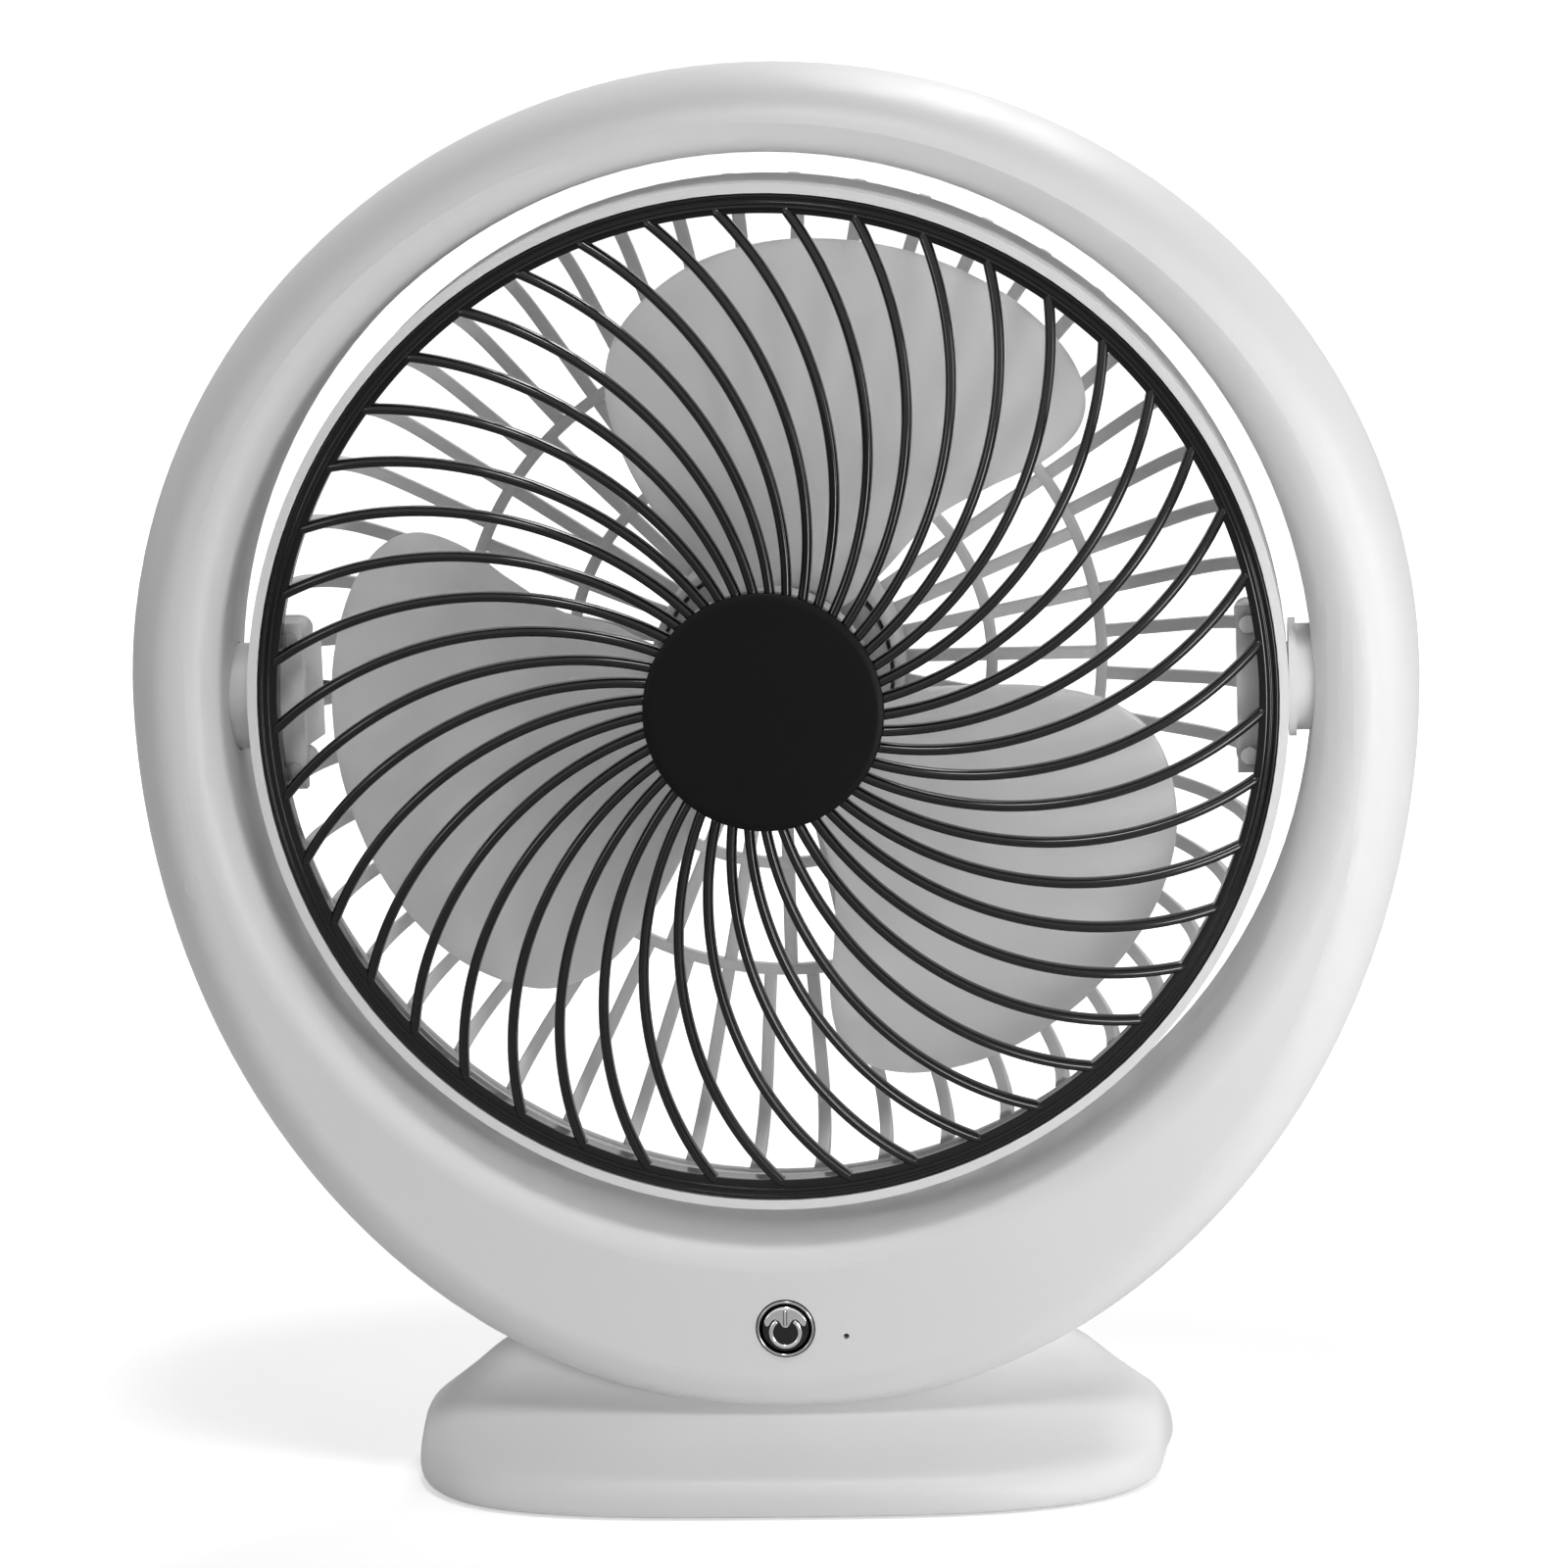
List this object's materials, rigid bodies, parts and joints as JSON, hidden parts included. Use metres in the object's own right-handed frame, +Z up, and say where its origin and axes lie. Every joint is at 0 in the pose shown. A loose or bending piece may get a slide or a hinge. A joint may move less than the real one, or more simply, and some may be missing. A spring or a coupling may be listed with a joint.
{
  "type": "table fan",
  "caption": "Rechargeable table fan with a round head that tilts inside an egg-shaped ring on a low base, swept grille, broad blades and one front button.",
  "frame": {"origin": "on the table, under the middle of the base", "axes": "+Z up, the fan blows towards -Y, +X along the tilt axis"},
  "size_m": [0.2624, 0.0844, 0.2896],
  "materials": {
    "white_plastic": "satin white",
    "black_grille": "semi-gloss black",
    "blade_plastic": "smooth pale grey, slightly translucent",
    "chrome": "polished",
    "rubber": "matt",
    "steel": "plain",
    "bronze": "sintered",
    "copper": "wound copper on a steel core",
    "magnet": "ferrite",
    "black_plastic": "moulded",
    "nylon": "natural",
    "lamp": "clear",
    "board": "coated board",
    "cell_wrap": "heat-shrunk sleeve",
    "lead_jacket": "flexible"
  },
  "bodies": {
    "stand": {"front_housing": "white_plastic", "rear_housing": "white_plastic", "base_plate": "white_plastic", "rubber_feet": "rubber", "base_screws": "steel", "housing_screws": "steel", "button_bezel": "chrome", "tact_switch": "black_plastic", "indicator_lamp": "lamp", "control_board": "board", "board_chips": "black_plastic", "board_screws": "steel", "battery_cells": "cell_wrap", "battery_cradles": "black_plastic", "battery_straps": "black_plastic", "charging_port": "steel", "charging_board": "board", "right_pivot_bush": "nylon", "left_pivot_bush": "nylon", "right_friction_washer": "steel", "left_friction_washer": "steel", "stand_lead": "lead_jacket", "battery_leads": "lead_jacket"},
    "head": {"right_trunnion": "white_plastic", "left_trunnion": "white_plastic", "right_pivot_bracket": "white_plastic", "left_pivot_bracket": "white_plastic", "bracket_screws": "steel", "head_band": "white_plastic", "front_grille": "black_grille", "hub_cap": "black_grille", "rear_grille": "white_plastic", "grille_screws": "steel", "motor_plate": "steel", "motor_can": "steel", "motor_end_cap": "black_plastic", "motor_bearings": "bronze", "motor_magnets": "magnet", "motor_screws": "steel", "motor_lead": "lead_jacket"},
    "impeller_set": {"motor_rotor": "copper", "motor_shaft": "steel", "impeller": "blade_plastic", "impeller_nut": "steel"},
    "button": {"power_button": "chrome"}
  },
  "joints": [
    {"name": "head_tilt", "type": "hinge", "parent": "stand", "child": "head", "pos_m": [0, 0, 0.1638], "axis": [1, 0, 0], "range_deg": [-90, 90]},
    {"name": "impeller_spin", "type": "hinge", "parent": "head", "child": "impeller_set", "pos_m": [0, 0, 0.1638], "axis": [0, 1, 0], "continuous": true},
    {"name": "button_press", "type": "slide", "parent": "stand", "child": "button", "axis": [0, 1, 0], "range_m": [0, 0.001], "stiffness_N_per_m": 1500, "springref_m": -0.0007}
  ]
}
